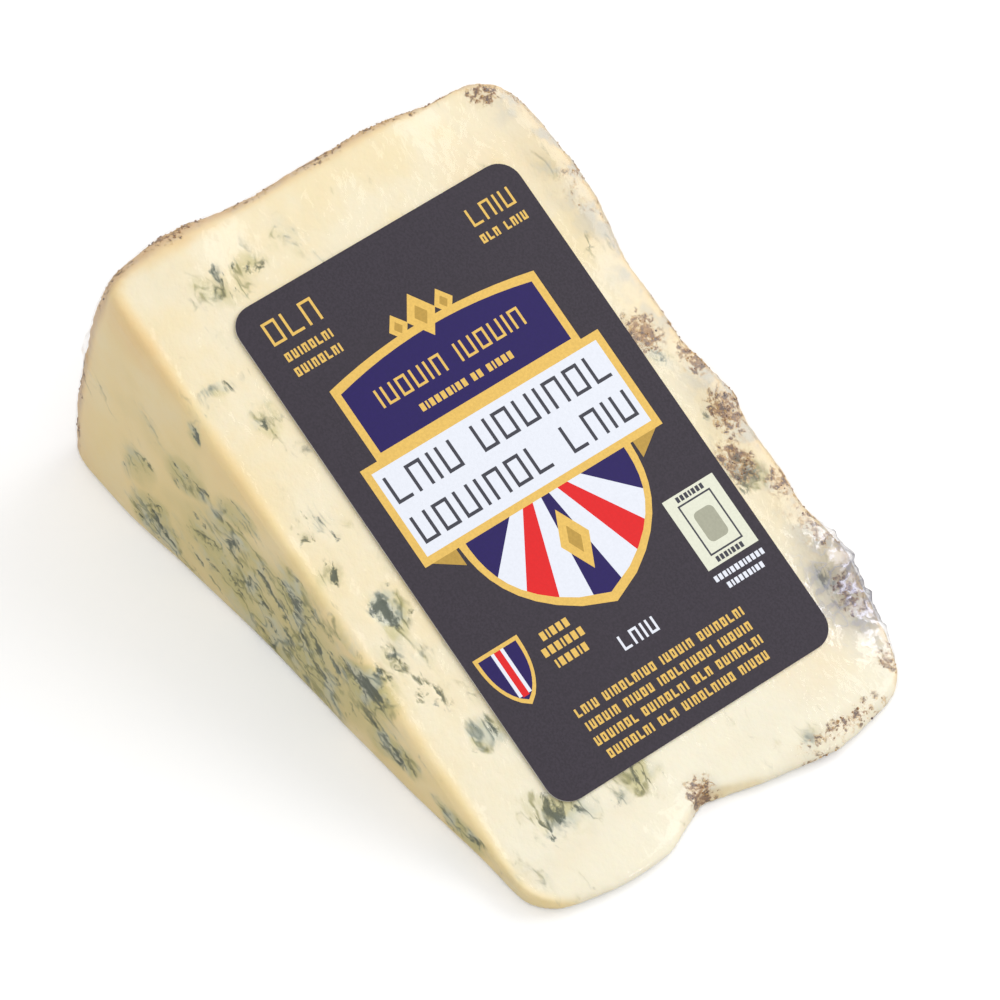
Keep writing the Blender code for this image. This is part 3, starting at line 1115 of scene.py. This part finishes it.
# %% List the fields of ink
def upper_fields():
    """Return the fields of the label's upper part: corner words, arched panel and finial."""
    fields = marks(-15.6, -33.8, 3.4, (3,), "gold", 0.38)
    fields += marks(-15.5, -30.0, 1.25, (8,), "gold", 0.30)
    fields += marks(-15.5, -27.7, 1.25, (8,), "gold", 0.30)
    fields += marks(16.9, -33.6, 2.6, (4,), "gold", 0.34)
    fields += marks(16.9, -30.4, 1.25, (3, 4), "gold", 0.30)
    for ink, inset in (("gold", 0.0), ("navy", 1.1)):
        fields.append((ink, arched_panel(16.8, -23.4, -12.0, 1.8, inset)))
    for across, half_width, half_height in ((-3.7, 1.5, 2.0), (3.7, 1.5, 2.0), (0.0, 2.3, 3.3)):
        for ink, share in (("gold", 1.0), ("gold_shade", 0.45)):
            outline = lozenge(across, -26.0, share * half_width, share * half_height)
            fields.append((ink, outline))
    fields += marks(0.0, -19.2, 2.7, (6, 6), "gold", 0.36)
    fields += marks(0.0, -15.4, 1.1, (9, 2, 5), "gold", 0.30)
    return fields


def middle_fields():
    """Return the fields of the banner, its folded ends and the shield under it."""
    fields = [
        ("gold_shade", [(14.6, 2.0), (19.5, 2.0), (14.6, 5.2)]),
        ("gold_shade", [(-14.6, 2.0), (-19.5, 2.0), (-14.6, 5.2)]),
        ("gold", shield(0.0, 14.2, 1.0, 19.4, 0.0)),
        *shield_rays(0.0, 1.0, 14.2, 19.4),
        ("gold", lozenge(0.0, 9.6, 2.3, 4.6)),
        ("gold_shade", lozenge(0.0, 9.6, 1.0, 2.1)),
        ("gold", rectangle(-19.6, -12.4, 19.6, 2.7)),
        ("white", rectangle(-18.5, -11.3, 18.5, 1.6)),
    ]
    fields += marks(0.0, -8.1, 4.0, (4, 7), "slate", 0.48)
    fields += marks(0.0, -1.9, 4.0, (7, 4), "slate", 0.48)
    return fields


def lower_fields():
    """Return the fields of the crest, the small words, the square mark and the last lines."""
    fields = [
        ("gold", shield(-18.0, 3.6, 16.2, 24.9, 0.0)),
        ("navy", shield(-18.0, 3.6, 16.2, 24.9, 0.55)),
        ("white", rectangle(-19.0, 16.75, -17.0, 23.4)),
        ("red", rectangle(-18.5, 16.75, -17.5, 23.6)),
    ]
    for down, words in ((18.2, (5,)), (20.2, (7,)), (22.2, (6,))):
        fields += marks(-9.6, down, 1.2, words, "gold", 0.30)
    fields += marks(-0.2, 24.4, 2.1, (4,), "white", 0.34)
    fields += [
        ("cream", rectangle(13.0, 11.6, 21.4, 22.4)),
        ("slate", rectangle(14.5, 13.1, 19.9, 20.9)),
        ("cream", rectangle(14.75, 13.35, 19.65, 20.65)),
        ("sage", rectangle(15.6, 14.9, 18.8, 19.5, 0.8)),
    ]
    for down, height, word, ink in (
        (12.35, 0.8, 7, "slate"),
        (21.65, 0.8, 7, "slate"),
        (23.8, 0.85, 12, "white"),
        (25.3, 0.85, 9, "white"),
    ):
        fields += marks(17.1, down, height, (word,), ink, 0.30)
    for down, words in (
        (29.0, (4, 9, 6, 8)),
        (31.2, (6, 5, 10, 6)),
        (33.4, (7, 8, 3, 8)),
        (35.6, (8, 3, 9, 5)),
    ):
        fields += marks(0.0, down, 1.25, words, "gold", 0.30)
    return fields


half_across = LABEL_ACROSS / 2
half_down = LABEL_DOWN / 2
sheet = rectangle(-half_across, -half_down, half_across, half_down, LABEL_CORNER)
label_fields = [("charcoal", sheet)] + upper_fields() + middle_fields() + lower_fields()
print("fields of ink:", len(label_fields))

# %% Name the inks
INKS = {
    # name: (colour, roughness, metallic, mottle)
    "charcoal": ((0.035, 0.027, 0.039), 0.40, 0.0, 0.16),
    "gold": ((0.79, 0.51, 0.12), 0.38, 0.10, 0.06),
    "gold_shade": ((0.50, 0.31, 0.06), 0.40, 0.10, 0.06),
    "navy": ((0.012, 0.002, 0.100), 0.38, 0.0, 0.06),
    "white": ((0.84, 0.87, 0.95), 0.40, 0.0, 0.02),
    "red": ((0.78, 0.010, 0.012), 0.38, 0.0, 0.03),
    "cream": ((0.82, 0.83, 0.68), 0.45, 0.0, 0.03),
    "slate": ((0.050, 0.050, 0.066), 0.42, 0.0, 0.06),
    "sage": ((0.42, 0.42, 0.32), 0.45, 0.0, 0.04),
    "paper_edge": ((0.62, 0.60, 0.58), 0.60, 0.0, 0.04),
}


def make_ink(name, colour, roughness, metallic, mottle):
    """Return one ink: its colour with the fine mottle of print on coated paper."""
    material, nodes = new_material("label_" + name)
    place = object_place(nodes)
    fleck = speckle(place, 0.35, 2.0, 0.6)
    dark = tuple((1.0 - mottle) * value for value in colour)
    light = tuple(min(1.0, (1.0 + mottle) * value) for value in colour)
    tone = blend(rise(fleck, 0.3, 0.7), dark, light)
    fibre = speckle(place, 0.8, 2.0, 0.5)
    inputs = {
        "Base Color": tone,
        "Roughness": roughness + (fibre - 0.5) * 0.12,
        "Metallic": metallic,
        "Normal": bumped(fibre, 0.08, 0.05),
        "Specular IOR Level": 0.25,
    }
    end_shader(nodes.add("ShaderNodeBsdfPrincipled", None, inputs))
    return material


# %% Cut the label's mesh along its fields
def build_label():
    """Return the label: fields of ink on a thin slab that lies on the sloping face."""
    points = []
    outlines = []
    for _, outline in label_fields:
        outline = wind(outline)
        outlines.append(list(range(len(points), len(points) + len(outline))))
        points += [Vector(point) for point in outline]
    places, _, faces, _, _, sources = delaunay_2d_cdt(points, [], outlines, 1, 1e-4)
    names = list(INKS)
    bm = bmesh.new()
    lift = OUT * (LABEL_THICKNESS - LABEL_SUNK)
    verts = [bm.verts.new(on_slope(point.y, point.x) + lift) for point in places]
    for face, source in zip(faces, sources):
        made = bm.faces.new([verts[index] for index in face])
        made.material_index = names.index(label_fields[max(source)][0])
        made.normal_update()
        if made.normal.dot(OUT) < 0.0:
            made.normal_flip()
    top_faces = set(bm.faces)
    copied = bmesh.ops.extrude_face_region(bm, geom=list(top_faces), use_keep_orig=True)
    lower = [item for item in copied["geom"] if isinstance(item, bmesh.types.BMVert)]
    bmesh.ops.translate(bm, verts=lower, vec=-OUT * LABEL_THICKNESS)
    for face in bm.faces:
        if face not in top_faces:
            face.material_index = names.index("paper_edge")
    bmesh.ops.recalc_face_normals(bm, faces=bm.faces)
    mesh = bpy.data.meshes.new("printed_label")
    bm.to_mesh(mesh)
    bm.free()
    for name, ink in INKS.items():
        mesh.materials.append(make_ink(name, *ink))
    print("label has", len(mesh.polygons), "faces")
    return add_object("printed_label", mesh)


label = build_label()

# %% [markdown]
# ## Floor and light
# A pale floor fades into a white surround, and keeps a soft shadow under the wedge. The light is
# a large soft lamp above and behind the crust, so the sloping face is brightest and the cut side
# is about a third darker, with a pale sky all round for the film to mirror.

# %% Lay the floor
FLOOR_HALF = 3.0
FLOOR_GREY = (0.80, 0.80, 0.80, 1.0)
WHITE = (1.0, 1.0, 1.0, 1.0)
FLOOR_GLOW = 0.34

floor_mesh = bpy.data.meshes.new("floor")
corners = [(x * FLOOR_HALF, y * FLOOR_HALF, 0.0) for x, y in ((-1, -1), (1, -1), (1, 1), (-1, 1))]
floor_mesh.from_pydata(corners, [], [(0, 1, 2, 3)])
floor = add_object("floor", floor_mesh)
floor_material, nodes = new_material("floor")
pale = nodes.add("ShaderNodeBsdfDiffuse", None, {"Color": FLOOR_GREY})
glow = nodes.add("ShaderNodeEmission", None, {"Color": WHITE, "Strength": FLOOR_GLOW})
seen = nodes.add("ShaderNodeLightPath", None, None, "Is Camera Ray")
both = nodes.add("ShaderNodeAddShader", None, {0: pale, 1: glow})
end_shader(nodes.add("ShaderNodeMixShader", None, {0: seen, 1: pale, 2: both}))
floor_mesh.materials.append(floor_material)
floor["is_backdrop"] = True

# %% Light the scene
SKY = 0.76
world = bpy.data.worlds.new("sky")
bpy.context.scene.world = world
world.use_nodes = True
nodes = Nodes(world.node_tree)
seen = nodes.add("ShaderNodeLightPath", None, None, "Is Camera Ray")
mirrored = nodes.add("ShaderNodeLightPath", None, None, "Is Glossy Ray")
strength = SKY + seen.most(mirrored) * (1.0 - SKY)
sky = nodes.add("ShaderNodeBackground", None, {"Color": WHITE, "Strength": strength})
end_shader(sky, "ShaderNodeOutputWorld")

LAMPS = (
    # name, direction from the wedge, distance, width, watts
    ("key", Vector((0.15, 1.00, 0.80)), 1.4, 1.20, 9.2),
    ("glint", Vector((0.85, 0.35, 0.45)), 1.0, 0.10, 0.25),
)
for name, direction, distance, width, watts in LAMPS:
    lamp_data = bpy.data.lights.new(name, "AREA")
    lamp_data.shape = "SQUARE"
    lamp_data.size = width
    lamp_data.energy = watts
    lamp = add_object(name, lamp_data)
    lamp.location = direction.normalized() * distance
    lamp.rotation_euler = direction.to_track_quat("Z", "Y").to_euler()
bpy.context.scene.view_settings.view_transform = "Standard"
print("lamps:", [lamp[0] for lamp in LAMPS])

# %% [markdown]
# ## Put the pieces in place
# Each piece rides on the one body and takes the place of its plain solid.

# %% Ride and replace
for piece, node, slot in (
    (cheese, "wrapped_wedge", "wrapped_cheese"),
    (crumbs, "wrapped_wedge", "wrapped_cheese"),
    (film, "wrapped_wedge", "wrapped_cheese"),
    (label, "label", "label_paper"),
):
    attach(piece, "root")
    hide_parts(node)
model_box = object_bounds()
boxes = {
    "cad": [[float(value) for value in corner] for corner in cad_box],
    "model": [[float(value) for value in corner] for corner in model_box],
}
for name, box in boxes.items():
    print(name, "box in mm:", [[round(value / MM, 2) for value in corner] for corner in box])
